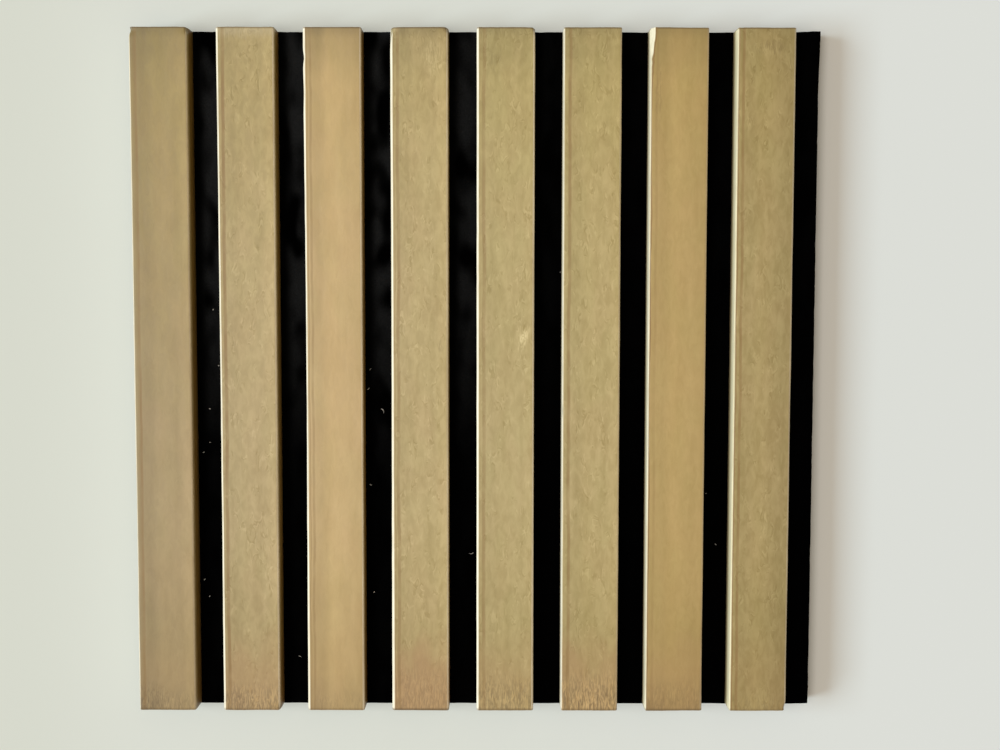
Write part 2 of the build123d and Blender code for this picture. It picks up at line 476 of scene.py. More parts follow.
def slat_section(width, thickness, radius, step):
    """Points round a slat's section and how each gives way to an inset.

    They run up the left side to the front, round the left edge, across the face, round the right edge,
    back along the right side and along the back. Each is (across from the left, depth behind the face).
    With an inset i a point moves by i times its second pair, so sides and face draw in and the back stays.
    The face's points are a step apart, and less than half of that over the pressed lines.
    """
    face_width = width - 2 * radius
    lined = GROOVE_REACH - radius
    face = np.concatenate([np.arange(0, lined, 0.4 * step), np.arange(lined, face_width, step)]) / face_width
    side = np.linspace(0, 1, SIDE_POINTS, endpoint=False)
    turn = np.linspace(0, math.pi / 2, EDGE_POINTS, endpoint=False)
    back = np.linspace(0, 1, BACK_POINTS, endpoint=False)
    runs = [
        (0 * side, thickness + (radius - thickness) * side, 1 + 0 * side, side),
        (radius - radius * np.cos(turn), radius - radius * np.sin(turn), 1 + 0 * turn, 1 + 0 * turn),
        (radius + face_width * face, 0 * face, 1 - 2 * face, 1 + 0 * face),
        (width - radius + radius * np.sin(turn), radius - radius * np.cos(turn), -1 + 0 * turn, 1 + 0 * turn),
        (width + 0 * side, radius + (thickness - radius) * side, -1 + 0 * side, 1 - side),
        (width * (1 - back), thickness + 0 * back, 2 * back - 1, 0 * back),
    ]
    across, depth, across_inset, depth_inset = (np.concatenate([run[k] for run in runs]) for k in range(4))
    return across, depth, across_inset, depth_inset


def slat_rows(length, ease, step, fine_from):
    """Heights, insets and shrinkings of a slat's rows, from the middle of its foot to the middle of its head.

    The end is a flat cap drawn out from its middle, then a quarter round of the ease's radius. The body's
    rows are a step apart, and half a step above the height fine_from.
    """
    turn = np.linspace(0, math.pi / 2, EASE_POINTS)
    ease_rise = ease * (1 - np.cos(turn))
    ease_inset = ease * (1 - np.sin(turn))
    coarse = np.arange(ease + step, fine_from, step)
    fine = np.arange(fine_from, length - ease - step / 3, step / 2)
    body = np.concatenate([coarse, fine])
    cap = np.array(CAP_RINGS)
    heights = np.concatenate([0 * cap, ease_rise, body, length - ease_rise[::-1], length + 0 * cap])
    insets = np.concatenate([ease + 0 * cap, ease_inset, 0 * body, ease_inset[::-1], ease + 0 * cap])
    shrinks = np.concatenate([cap, 1 + 0 * turn, 1 + 0 * body, 1 + 0 * turn, cap[::-1]])
    return heights, insets, shrinks


def chip_away(across, depth, height, length, seed):
    """Push the points of a corner back to a slanting, splintered plane, and tell how far out each was.

    The plane passes through three points: on the face and on the side at the head, and on the edge below.
    A point outside it goes back along its normal by its distance, give or take the splinters.
    """
    on_face = np.array([CHIP_WIDTH, 0.0, length])
    on_side = np.array([0.0, CHIP_DEPTH, length])
    on_edge = np.array([0.0, 0.0, length - CHIP_LENGTH])
    normal = np.cross(on_side - on_face, on_edge - on_face)
    normal /= np.linalg.norm(normal)
    if normal[0] > 0:
        normal = -normal
    points = np.stack([across, depth, height], -1)
    splinters = SPLINTER_DEPTH * sheet_noise(across + depth, height, *SPLINTER_SIZE, seed)
    splinters += STEP_DEPTH * line_noise(height, STEP_WAVE, seed + 1)
    outside = (points - on_face) @ normal + splinters
    push = np.clip(outside, 0, None)
    points = points - push[..., None] * normal
    return points[..., 0], points[..., 1], points[..., 2], outside


def make_slat(name, setting):
    """One slat as a closed surface: its section carried up its length, with caps at both ends.

    The long edges wander inwards by smooth noise along the length, give way at the marks by a bell curve,
    and the faces sink into shallow hollows by noise over the sheet. The groove is a bell curve across the
    face, whose middle wanders by noise along the length. Nothing stands proud of the frame's box.
    """
    shape = setting.slat_shape
    looks = slat_looks(name)
    low, high = box_mm(name)
    width, thickness, length = high - low
    seed = setting.seed * 100 + slat_number(name) * 10
    radius, ease = shape.edge_radius / MM, shape.end_ease / MM
    across, depth, across_inset, depth_inset = slat_section(width, thickness, radius, shape.step_across / MM)
    fine_from = length - CHIP_LENGTH - CHIP_MARGIN
    heights, insets, shrinks = slat_rows(length, ease, shape.step_along / MM, fine_from)
    u = across[None, :] + insets[:, None] * across_inset[None, :]
    d = depth[None, :] + insets[:, None] * depth_inset[None, :]
    u = width / 2 + (u - width / 2) * shrinks[:, None]
    d = thickness / 2 + (d - thickness / 2) * shrinks[:, None]
    v = np.repeat(heights[:, None], len(across), 1)

    for side, edge in ((-1, 0.0), (1, width)):
        near = np.exp(-((u - edge) ** 2 + d ** 2) / (2 * EDGE_REACH ** 2))
        move = shape.waviness / MM * (0.5 + 0.5 * waves(v, EDGE_WAVES, seed + side))
        for slat, mark_side, height, amount, half in EDGE_MARKS:
            if slat == name and mark_side == side:
                move = move + amount * np.exp(-((v - height) / half) ** 2)
        u = u - side * near * move
        d = d + EDGE_SINK * near * move
    hollow = 0.5 + 0.5 * sheet_noise(u, v, *HOLLOW_SIZE, seed + 7)
    on_front = np.clip(1 - d / FRONT_REACH, 0, 1)
    d = d + shape.unevenness / MM * hollow * on_front
    place, half, strength = looks["groove"]
    from_groove = u - place - waves(v, GROOVE_WAVES, seed)
    d = d + shape.groove_depth / MM * strength * np.exp(-(from_groove / half) ** 2) * on_front
    near_end = np.clip(1 - np.minimum(v, length - v) / SAWN_REACH, 0, 1) ** 2
    rough_sawn = sum(amount for amount, _, _ in SAWN_WAVES) + waves(u, SAWN_WAVES, seed)
    v = v + np.where(v < length / 2, 1.0, -1.0) * near_end * rough_sawn

    from_chip = np.full_like(u, FAR_INSIDE)
    if name == CHIPPED:
        u, d, v, from_chip = chip_away(u, d, v, length, seed + 9)

    body = np.stack([low[0] + u, low[1] + d, low[2] + v], -1).reshape(-1, 3)
    middle = np.array([(low[0] + high[0]) / 2, (low[1] + high[1]) / 2, 0.0])
    poles = np.stack([middle + [0, 0, low[2]], middle + [0, 0, high[2]]])
    points = np.concatenate([body, poles])
    rows, columns = u.shape
    quads = grid_quads(rows, columns, closed=True)
    ring = np.arange(columns)
    after = (ring + 1) % columns
    foot_pole, head_pole, last = rows * columns, rows * columns + 1, (rows - 1) * columns
    foot = np.stack([np.full(columns, foot_pole), after, ring], -1)
    head = np.stack([last + ring, last + after, np.full(columns, head_pole)], -1)
    piece = new_mesh(name + "_surface", points, quads, np.concatenate([foot, head]), SHARP_ANGLE)
    for key, values in (("from_chip", from_chip), ("from_groove", from_groove)):
        attribute = piece.data.attributes.new(key, "FLOAT", "POINT")
        attribute.data.foreach_set("value", np.append(values.ravel(), [FAR_INSIDE] * 2).astype(np.float32))
    piece.data.materials.append(slat_material(name, low, length, setting))
    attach(piece, BODY)
    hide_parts(name)
    return piece


def lines_with_detail(low, high, step, centres, half):
    """Grid lines a step apart, with extra ones over each centre and to both sides of it, and none closer
    than 0.2."""
    offsets = [-offset for offset in half[::-1]] + [0] + half
    plain = np.linspace(low, high, int(round((high - low) / step)) + 1)
    detail = (np.asarray(centres)[:, None] + np.asarray(offsets)[None, :]).ravel()
    clear = np.abs(plain[:, None] - detail[None, :]).min(1) > step / 3
    clear[[0, -1]] = True
    lines = np.unique(np.concatenate([plain[clear], detail]))
    keep = np.concatenate([[True], np.diff(lines) > 0.2])
    return lines[keep]


def staple_places():
    """Centres of the staples' columns and rows, from the wire's own points in the frame."""
    points = np.array([v.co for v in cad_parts[STAPLES].data.vertices]) / MM
    low, high = points.min(0), points.max(0)
    slat_boxes = [box_mm(name) for name in SLATS]
    columns = [(b[0][0] + b[1][0]) / 2 for b in slat_boxes]
    heights = np.unique(np.round(points[:, 2], 2))
    breaks = np.concatenate([[0], np.nonzero(np.diff(heights) > 5)[0] + 1, [len(heights)]])
    rows = [(heights[a] + heights[b - 1]) / 2 for a, b in zip(breaks[:-1], breaks[1:])]
    crown = 2 * min(columns[0] - low[0], high[0] - columns[-1])
    wire = 2 * (rows[0] - heights[0])
    return columns, rows, crown, wire


def make_felt(setting):
    """The felt board as one closed surface: front and back sheets joined by a softly rounded rim.

    Front: noise over the sheet makes shallow lumps. Back: flat, and drawn in round each staple by the
    product of two smooth bumps, one across and one along. The rim is a half round of the rim radius.
    Bell curves push the right and foot edges out by the overhang, and the top right corner by the flare.
    """
    shape = setting.felt_shape
    low, high = box_mm(FELT)
    columns, rows, crown, wire = staple_places()
    radius = shape.rim_radius / MM
    across_half = [crown / 4, crown / 2 + 0.1, crown / 2 + 1.0, crown / 2 + DIMPLE_SOFT[0]]
    along_half = [wire / 2 + 0.1, wire / 2 + 0.9, wire / 2 + DIMPLE_SOFT[1]]
    x = lines_with_detail(low[0] + radius, high[0] - radius, shape.step / MM, columns, across_half)
    z = lines_with_detail(low[2] + radius, high[2] - radius, shape.step / MM, rows, along_half)
    grid_x, grid_z = np.meshgrid(x, z)
    seed = setting.seed * 1000

    lump = sum(share * sheet_noise(grid_x, grid_z, wave_x, wave_z, seed + step)
               for share, wave_x, wave_z, step in LUMP_WAVES)
    front = low[1] + shape.lumps / MM * (0.5 + 0.5 * lump)
    near_x = np.abs(grid_x[..., None] - np.asarray(columns)).min(-1)
    near_z = np.abs(grid_z[..., None] - np.asarray(rows)).min(-1)

    def bump(distance, flat, soft):
        t = np.clip((distance - flat) / soft, 0, 1)
        return 1 - t * t * (3 - 2 * t)

    drawn_in = bump(near_x, crown / 2, DIMPLE_SOFT[0]) * bump(near_z, wire / 2, DIMPLE_SOFT[1])
    back = high[1] - shape.dimple / MM * drawn_in

    def rim_loop(values):
        """The outer points of a grid: along the foot, up the right, back along the head, down the left."""
        return np.concatenate([values[0, :-1], values[:-1, -1], values[-1, :0:-1], values[:0:-1, 0]])

    loop_x, loop_z = rim_loop(grid_x), rim_loop(grid_z)
    out_x = np.where(loop_x <= x[0], -1.0, np.where(loop_x >= x[-1], 1.0, 0.0))
    out_z = np.where(loop_z <= z[0], -1.0, np.where(loop_z >= z[-1], 1.0, 0.0))
    size = np.hypot(out_x, out_z)
    out_x, out_z = out_x / size, out_z / size
    turn = np.linspace(0, math.pi / 2, 4)
    front_loop, back_loop = rim_loop(front), rim_loop(back)
    ragged = RAGGED_DEPTH * line_noise(np.arange(len(loop_x)) * 1.0, 2.0, seed + 3)
    ragged_front, ragged_back = np.clip(ragged, 0, None), np.clip(-ragged, 0, None)

    def ring_at(reach, depth):
        return np.stack([loop_x + out_x * reach, depth, loop_z + out_z * reach], -1)

    rim = [ring_at((radius - ragged_front) * np.sin(angle), front_loop + radius * (1 - np.cos(angle)))
           for angle in turn[1:]]
    rim += [ring_at(radius - np.clip(ragged * (1 - 2 * part), 0, None),
                    (1 - part) * (front_loop + radius) + part * (back_loop - radius))
            for part in (0.33, 0.67)]
    rim += [ring_at((radius - ragged_back) * np.sin(angle), back_loop - radius * (1 - np.cos(angle)))
            for angle in turn[:0:-1]]
    rows_z, columns_x = grid_x.shape
    sheet_size = rows_z * columns_x
    front_points = np.stack([grid_x, front, grid_z], -1).reshape(-1, 3)
    back_points = np.stack([grid_x, back, grid_z], -1).reshape(-1, 3)
    rim_points = np.concatenate(rim)
    points = np.concatenate([front_points, back_points, rim_points])
    from_right, from_head, from_foot = high[0] - points[:, 0], high[2] - points[:, 2], points[:, 2] - low[2]
    overhang, flare = shape.overhang / MM, shape.flare / MM
    in_corner = np.exp(-(from_right / FLARE_REACH[0]) ** 2 - (from_head / FLARE_REACH[1]) ** 2)
    points[:, 0] += overhang * np.exp(-(from_right / OVERHANG_REACH) ** 2) + flare * in_corner
    points[:, 2] += flare * in_corner - overhang * np.exp(-(from_foot / OVERHANG_REACH) ** 2)

    front_quads = grid_quads(rows_z, columns_x, closed=False)
    back_quads = grid_quads(rows_z, columns_x, closed=False, first=sheet_size)[:, ::-1]
    index = np.arange(sheet_size).reshape(rows_z, columns_x)
    ring = rim_loop(index)
    bands = [ring] + [2 * sheet_size + k * len(ring) + np.arange(len(ring)) for k in range(len(rim))]
    bands.append(ring + sheet_size)
    bands = np.stack(bands)
    after = np.roll(bands, -1, axis=1)
    rim_quads = np.stack([bands[:-1], bands[1:], after[1:], after[:-1]], -1).reshape(-1, 4)
    piece = new_mesh("felt_surface", points, np.concatenate([front_quads, back_quads, rim_quads]))
    piece.data.materials.append(felt_material(low, setting))
    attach(piece, BODY)
    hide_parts(FELT)
    return piece


def make_lint(setting):
    """Stray fibres on the felt: each a thin tube of six sides along a loose curl that lies on the board.

    A fibre's middle line is an arc that turns by a random angle over its length, and its radius tapers
    towards both ends by the sine of the distance along it.
    """
    low, _ = box_mm(FELT)
    rng = np.random.default_rng(setting.seed + 500)
    steps, sides = LINT_RINGS, LINT_SIDES
    all_points, all_quads = [], []
    for left, height, length in LINT:
        along = np.linspace(0, 1, steps)
        start, bend = rng.uniform(0, 2 * math.pi), rng.uniform(-2.6, 2.6)
        heading = start + bend * along
        stride = length / (steps - 1)
        centre_x = low[0] + left + np.cumsum(np.cos(heading)) * stride
        centre_z = low[2] + height + np.cumsum(np.sin(heading)) * stride
        centre_y = np.full(steps, low[1] - LINT_LIFT)
        size = LINT_THICKNESS * (0.35 + 0.65 * np.sin(math.pi * np.clip(along, 0.04, 0.96)))
        angle = np.linspace(0, 2 * math.pi, sides, endpoint=False)
        normal = np.stack([-np.sin(heading), 0 * heading, np.cos(heading)], -1)
        outward = np.array([0.0, -1.0, 0.0])
        ring = (np.cos(angle)[None, :, None] * normal[:, None, :]
                + np.sin(angle)[None, :, None] * outward[None, None, :])
        centre = np.stack([centre_x, centre_y, centre_z], -1)
        first = sum(len(p) for p in all_points)
        all_points.append((centre[:, None, :] + ring * size[:, None, None]).reshape(-1, 3))
        all_quads.append(grid_quads(steps, sides, closed=True, first=first))
        for row in (0, steps - 1):
            corners = first + row * sides + np.arange(sides)
            corners = corners[::-1] if row == 0 else corners
            all_quads.append(corners[[[0, 1, 2, 5], [2, 3, 4, 5]]])
    piece = new_mesh("lint", np.concatenate(all_points), np.concatenate(all_quads))
    piece.data.materials.append(lint_material(setting))
    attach(piece, BODY)
    return piece


# Materials

class Finish:
    """The node tree of a material or of the world, with short ways to add its nodes."""

    def __init__(self, owner, output="ShaderNodeOutputMaterial"):
        self.owner = owner
        owner.use_nodes = True
        self.tree = owner.node_tree
        self.tree.nodes.clear()
        self.output = self.tree.nodes.new(output)

    def feed(self, socket, value):
        """Link a socket to another, or set it to a plain value."""
        if isinstance(value, bpy.types.NodeSocket):
            self.tree.links.new(value, socket)
        else:
            socket.default_value = value

    def node(self, kind, inputs=None, **settings):
        """A node with its settings made and its inputs fed, by their names or numbers."""
        made = self.tree.nodes.new(kind)
        for key, value in settings.items():
            setattr(made, key, value)
        for key, value in (inputs or {}).items():
            self.feed(made.inputs[key], value)
        return made

    def close(self, shader):
        """Link the last shader to the output, and give back the material or world."""
        self.tree.links.new(shader.outputs[0], self.output.inputs["Surface"])
        return self.owner

    def surface(self, **inputs):
        """The closing Principled shader. Underscores in a name stand for spaces."""
        named = {key.replace("_", " "): value for key, value in inputs.items()}
        return self.close(self.node("ShaderNodeBsdfPrincipled", named))

    def maths(self, operation, first, second=0.0):
        """One step of arithmetic."""
        return self.node("ShaderNodeMath", {0: first, 1: second}, operation=operation).outputs[0]

    def times(self, *values):
        """The values multiplied, from the first on."""
        return reduce(partial(self.maths, "MULTIPLY"), values)

    def plus(self, *values):
        """The values added, from the first on."""
        return reduce(partial(self.maths, "ADD"), values)

    def millimetres(self, corner=(0.0, 0.0, 0.0)):
        """Place on the piece in millimetres from a corner."""
        place = self.node("ShaderNodeTexCoord").outputs["Object"]
        offset = tuple(-float(part) for part in corner)
        return self.node("ShaderNodeMapping", {
            "Vector": place, "Location": offset, "Scale": (1 / MM,) * 3}).outputs[0]

    def parts(self, vector):
        """The three parts of a vector."""
        return self.node("ShaderNodeSeparateXYZ", {"Vector": vector}).outputs[:3]

    def attribute(self, name):
        """A value that the mesh carries at its points."""
        return self.node("ShaderNodeAttribute", attribute_name=name).outputs["Fac"]

    def noise(self, vector, size, shift=0.0, detail=2.0, roughness=0.5, distortion=0.0):
        """Noise from 0 to 1 with cells of the given size in millimetres, moved by a shift."""
        cells = self.node("ShaderNodeMapping", {
            "Vector": vector, "Location": (shift, shift * 0.37, shift * 1.71),
            "Scale": tuple(1.0 / part for part in size)}).outputs[0]
        return self.node("ShaderNodeTexNoise", {
            "Vector": cells, "Scale": 1.0, "Detail": detail, "Roughness": roughness,
            "Distortion": distortion}).outputs["Fac"]

    def slope(self, value, low, high, to_low=0.0, to_high=1.0, smooth=True):
        """Map a range to another, clamped, with a soft start and end."""
        return self.node("ShaderNodeMapRange", {
            "Value": value, "From Min": low, "From Max": high, "To Min": to_low, "To Max": to_high},
            interpolation_type="SMOOTHSTEP" if smooth else "LINEAR", clamp=True).outputs["Result"]

    def sway(self, noise, amount):
        """Noise spread to either side of 0."""
        return self.slope(noise, 0.25, 0.75, -amount, amount)

    def band(self, value, centre, half, soft):
        """1 within half a width of the centre, and 0 beyond the soft margin."""
        away = self.maths("ABSOLUTE", self.maths("SUBTRACT", value, centre))
        return self.slope(away, half, half + soft, 1.0, 0.0)

    def mix(self, share, first, second, blend="MIX"):
        """Mix two colours by a share."""
        colours = [value if isinstance(value, bpy.types.NodeSocket) else (*value, 1.0)
                   for value in (first, second)]
        return self.node("ShaderNodeMix", {"Factor": share, 6: colours[0], 7: colours[1]},
                         data_type="RGBA", blend_type=blend).outputs[2]

    def over(self, colour, paint, *shares):
        """A paint laid over a colour by the product of the shares."""
        return self.mix(self.times(*shares), colour, paint)

    def cast(self, colour, shares):
        """A colour multiplied part by part."""
        return self.mix(1.0, colour, shares, blend="MULTIPLY")

    def shade(self, colour, factor):
        """A colour made lighter or darker by a factor socket."""
        return self.node("ShaderNodeVectorMath", {0: colour, "Scale": factor}, operation="SCALE").outputs[0]

    def tint(self, colour, amount):
        """A colour made lighter or darker by an amount, most in its blue, so that pale wood turns creamy."""
        spread = self.node("ShaderNodeVectorMath", {0: amount, 1: CREAM_SPREAD, 2: (1.0, 1.0, 1.0)},
                           operation="MULTIPLY_ADD").outputs[0]
        return self.node("ShaderNodeVectorMath", {0: colour, 1: spread}, operation="MULTIPLY").outputs[0]

    def bump(self, height, depth_mm):
        """A normal bent by a height."""
        return self.node("ShaderNodeBump", {
            "Height": height, "Strength": 1.0, "Distance": depth_mm * MM}).outputs["Normal"]


class Wood(Finish):
    """One slat's wood, with a method for each thing that is laid on it."""

    def __init__(self, name, low, length, paints):
        super().__init__(bpy.data.materials.new(name + "_wood"))
        self.name, self.length, self.paints = name, length, paints
        self.looks = slat_looks(name)
        self.place = self.millimetres(low)
        self.across, self.depth, self.height = self.parts(self.place)
        self.from_right = self.maths("SUBTRACT", box_mm(name)[1][0] - low[0], self.across)
        self.to_end = self.maths("MINIMUM", self.height, self.maths("SUBTRACT", length, self.height))
        self.on_front = self.slope(self.depth, *FACE_SPAN)
        self.mottle, self.drift, self.hair = [self.grain(kind) for kind in ("mottle", "drift", "hair")]

    def grain(self, kind):
        """One of the wood's noises, moved on from slat to slat."""
        size, shift, *details = WOOD_NOISES[kind]
        return self.noise(self.place, size, SLAT_SHIFT * slat_number(self.name) + shift, *details)

    def strokes(self):
        """Short dark strokes and pale ones, crowded in places and near the ends."""
        near_end = self.slope(self.to_end, *CROWDED_SPAN)
        in_places = self.slope(self.grain("crowd"), 0.46, 0.60)
        crowded = self.maths("MAXIMUM", in_places, self.times(near_end, 0.8))
        crowded = self.times(crowded, self.slope(self.grain("cut"), 0.40, 0.56))
        strokes = self.grain("strokes")
        return [self.times(self.band(strokes, level, 0.014, 0.055), crowded) for level in STROKE_LEVELS]

    def figure(self, dark, pale):
        """How much paler or darker each spot is than the tone of the face."""
        stroke = STROKE_SHARE * self.looks["fleck"]
        return self.plus(
            self.sway(self.grain("broad"), BROAD_SHARE),
            self.sway(self.grain("cloud"), CLOUD_SHARE * self.looks["cloud"]),
            self.sway(self.mottle, MOTTLE_SHARE * self.looks["mottle"]),
            self.times(dark, -stroke), self.times(pale, stroke))

    def shading(self):
        """How light the slat is from side to side and from its foot to its head. Its fall towards the foot is
        painted shade, for the light that falls off low on the face.
        """
        looks = self.looks
        head_shade = HEAD_SHADE * looks["head"]
        head = [self.slope(self.height, self.length - start, self.length - full, 0.0, head_shade)
                for start, full in HEAD_SPANS]
        right_span = PALE_RIGHT_SPAN if looks["right"] > 0 else DARK_RIGHT_SPAN
        return self.plus(
            1.0, self.slope(self.across, *LEFT_SPAN, 0.0, looks["left"]),
            self.slope(self.across, *right_span, 0.0, looks["right"]),
            self.slope(self.height, *FOOT_SPAN, 0.0, FOOT_SHADE),
            self.slope(self.height, *HEEL_SPAN, 0.0, -looks["heel"], smooth=False), *head)

    def plain_tone(self):
        """The tone of the face, between a green and a pink cast, yellower above and creamy at its ends."""
        tone = srgb(*self.looks["tone"])
        casts = [tuple(part * share for part, share in zip(tone, cast)) for cast in (GREEN_CAST, PINK_CAST)]
        colour = self.mix(self.slope(self.drift, 0.30, 0.70), *casts)
        ochre = self.times(self.slope(self.height, *OCHRE_SPAN), self.looks["ochre"])
        colour = self.mix(ochre, colour, self.cast(colour, OCHRE_CAST))
        return self.mix(self.slope(self.to_end, *END_SPAN), colour, self.cast(colour, END_CAST))

    def foot_and_head(self, colour):
        """The red-brown foot with its raised fibres, and the top that has worn pale."""
        foot = self.slope(self.plus(self.height, self.slope(self.drift, 0.2, 0.8, -9.0, 9.0)), *STAIN_SPAN)
        colour = self.over(colour, self.paints.foot_colour, foot, 0.55 * self.looks["foot"])
        strength, reach = self.looks["fray"]
        low_foot = self.times(self.slope(self.height, reach, FRAY_FULL), strength)
        fibres = self.slope(self.grain("fibres"), 0.35, 0.66, -0.24, 0.20)
        colour = self.shade(colour, self.plus(1.0, self.times(low_foot, fibres)))
        worn_to = self.plus(self.height, self.slope(self.hair, 0.2, 0.8, -1.5, 1.5))
        bleached = self.slope(worn_to, self.length - BLEACH_SPAN[0], self.length - BLEACH_SPAN[1])
        return self.over(colour, self.paints.worn_and_highlight_colour, bleached, 0.75 * self.looks["bleach"])

    def pressed_lines(self, colour):
        """The broad groove, faint in places, and the thin crease beside it."""
        from_groove = self.attribute("from_groove")
        place, half, strength = self.looks["groove"]
        faint = self.slope(self.grain("faint"), 0.25, 0.65, 0.45, 1.0)
        groove = self.band(from_groove, 0.0, 0.45 * half, 0.9 * half)
        colour = self.over(colour, self.paints.line_colour, groove, faint, self.on_front, 0.85 * strength)
        crease_place, strength = self.looks["crease"]
        # On slats 6 to 8 the crease lies on the rounded edge and is partly painted shade there
        crease = self.band(self.plus(from_groove, place - crease_place), 0.0, 0.12, CREASE_HALF)
        return self.over(colour, self.paints.line_colour, crease, self.on_front, 0.75 * strength)

    def worn(self, paint):
        """A paint as it lies on this slat's left edge and side, white or yellow."""
        edge = self.looks["edge"]
        return [part * share for part, share in zip(paint, (1.0, 1 - 0.12 * (1 - edge), edge))]

    def sides(self, colour):
        """The left side painted paler, partly faded and partly painted window light, the right side in
        painted shade, and painted shade on both deep towards the felt, where the slats shade each other.
        """
        # Painted light: the left side is laid paler, partly as fading and partly for the window's light
        left_side = self.times(self.slope(self.across, *SIDE_SPAN), self.slope(self.depth, 0.6, 1.2))
        colour = self.over(colour, self.worn(self.paints.faded_and_lit_side_colour), left_side, 0.75)
        # Painted shade: the right side, turned away from the window, is cast dark brown
        shaded_right_side = self.times(self.slope(self.from_right, *SIDE_SPAN), self.slope(self.depth, 1.0, 5.0))
        colour = self.mix(shaded_right_side, colour, self.cast(colour, RIGHT_SHADE_CAST))
        # Painted shade: both sides darken towards the felt, where the slats shade each other
        return self.shade(colour, self.slope(self.depth, *RECESS_SHADE_SPAN, 1.0, DARK_RIM_AND_SHADE_SHARE))

    def worn_and_highlit_edges(self, colour):
        """The long edges, rubbed pale and painted with highlight: a rim on the left and a line on the right.
        """
        wear = self.slope(self.grain("wear"), 0.30, 0.60, 0.75, 1.0)
        width, strength = self.looks["rim"]
        # The left rim is partly rubbed wear and partly painted highlight on the rounded edge that faces the
        # window
        on_face = self.times(self.slope(self.across, width + 0.12, width - 0.12),
                             self.slope(self.depth, 1.4, 0.9))
        # Painted light: the front of the left side is pale where the window lights it, fading deeper in where
        # the slat to its left shades it
        on_side = self.times(self.slope(self.across, 0.82, 0.18), self.slope(self.depth, 8.0, 2.6))
        rim = self.maths("MAXIMUM", on_face, on_side)
        colour = self.over(colour, self.worn(self.paints.worn_and_highlight_colour), rim, wear, strength)
        # The pale line by the right edge is partly wear and partly painted highlight
        line = self.band(self.from_right, 0.50, 0.22, 0.34)
        return self.over(colour, self.paints.worn_and_highlight_colour, line, self.on_front, wear, self.looks["line"])

    def patches(self, colour):
        """The rubbed and the stained patches, torn into upright threads."""
        for slat, left, up, half_width, half_height, strength, lean in PATCHES:
            if slat != self.name:
                continue
            above = self.maths("SUBTRACT", self.height, up)
            aside = self.maths("SUBTRACT", self.maths("SUBTRACT", self.across, left), self.times(above, lean))
            away_x = self.maths("DIVIDE", aside, half_width)
            away_z = self.maths("DIVIDE", above, half_height)
            away = self.plus(self.times(away_x, away_x), self.times(away_z, away_z))
            thread = self.slope(self.hair, *(PALE_THREADS if strength > 0 else DARK_THREADS))
            torn = self.times(self.slope(away, 1.6, 0.1), thread, self.on_front, abs(strength))
            if strength > 0:
                colour = self.tint(colour, self.times(torn, 1.35))
            else:
                colour = self.over(colour, self.paints.stain_colour, torn)
        return colour

    def sawn_ends(self, colour):
        """The dark rims of both ends, and the end grain."""
        head_strength = 0.62 * (1 - 0.8 * self.looks["bleach"])
        head = self.slope(self.height, self.length - 1.1, self.length - 0.55, 0.0, head_strength)
        foot = self.slope(self.height, 1.8, 0.5, 0.0, self.looks["sill"])
        dark = [part * DARK_RIM_AND_SHADE_SHARE for part in self.paints.end_colour]
        colour = self.over(colour, dark, self.plus(head, foot))
        pores = self.slope(self.grain("pores"), 0.35, 0.7, 0.75, 1.1)
        facing = self.parts(self.node("ShaderNodeNewGeometry").outputs["Normal"])[2]
        on_end = self.slope(self.maths("ABSOLUTE", facing), 0.75, 0.92)
        return self.mix(on_end, colour, self.shade(self.paints.end_colour, pores))

    def chip(self, colour):
        """Bare wood in the chip, with a dark line beside it."""
        from_chip = self.attribute("from_chip")
        beside = self.times(self.band(from_chip, -0.34, 0.18, 0.24), self.slope(self.across, 1.0, 1.5))
        colour = self.over(colour, self.paints.line_colour, beside, 0.85)
        bare_wood = self.shade(self.paints.bare_colour, self.slope(self.hair, 0.3, 0.7, 0.9, 1.05))
        return self.mix(self.slope(from_chip, -0.05, 0.65), colour, bare_wood)


def slat_material(name, low, length, setting):
    """Satin light wood: upright mottling and strokes, two pressed lines by the left edge, long edges painted
    pale as wear and as painted highlight, a left side partly faded and partly painted with window light,
    painted shade on the right side and deep between the slats, a red-brown foot, dark sawn rims and bare
    wood in the chip."""
    paints = setting.slat_finish
    wood = Wood(name, low, length, paints)
    dark, pale = wood.strokes()
    colour = wood.shade(wood.tint(wood.plain_tone(), wood.figure(dark, pale)), wood.shading())
    for lay_on in (wood.foot_and_head, wood.pressed_lines, wood.sides, wood.worn_and_highlit_edges, wood.patches,
                   wood.sawn_ends):
        colour = lay_on(colour)
    if name == CHIPPED:
        colour = wood.chip(colour)
    rough = wood.slope(wood.mottle, 0.2, 0.8, paints.roughness - 0.05, paints.roughness + 0.07)
    relief = wood.maths("SUBTRACT", wood.mottle, wood.times(dark, 0.5 * wood.looks["fleck"]))
    return wood.surface(Base_Color=colour, Roughness=rough, Specular_IOR_Level=0.4,
                        Normal=wood.bump(relief, 0.06))


def slat_pitch():
    """Distance from one slat to the next, in millimetres."""
    return box_mm(SLATS[1])[0][0] - box_mm(SLATS[0])[0][0]


